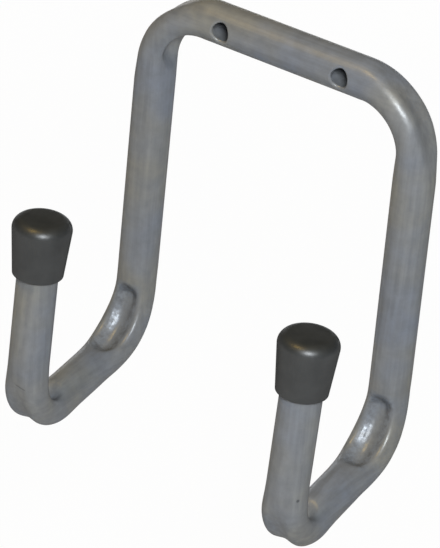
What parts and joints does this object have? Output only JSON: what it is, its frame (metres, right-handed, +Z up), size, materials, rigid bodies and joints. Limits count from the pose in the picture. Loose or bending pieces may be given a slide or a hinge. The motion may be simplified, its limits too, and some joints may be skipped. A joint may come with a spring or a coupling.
{
  "type": "double storage hook",
  "caption": "Wall-fixed double storage hook: one bent steel tube with a top bar, two legs and two upturned arms with push-on end caps.",
  "frame": {"origin": "middle of the two screw holes on the wall plane, which the back of the bent tube touches", "axes": "+X to the right seen from the front, +Y into the wall, +Z up along the two legs"},
  "size_m": [0.179, 0.1069, 0.2139],
  "materials": {
    "grey_enamel": "glossy",
    "black_vinyl": "satin"
  },
  "bodies": {
    "root": {"bent_tube": "grey_enamel", "end_cap_left": "black_vinyl", "end_cap_right": "black_vinyl"}
  },
  "joints": []
}
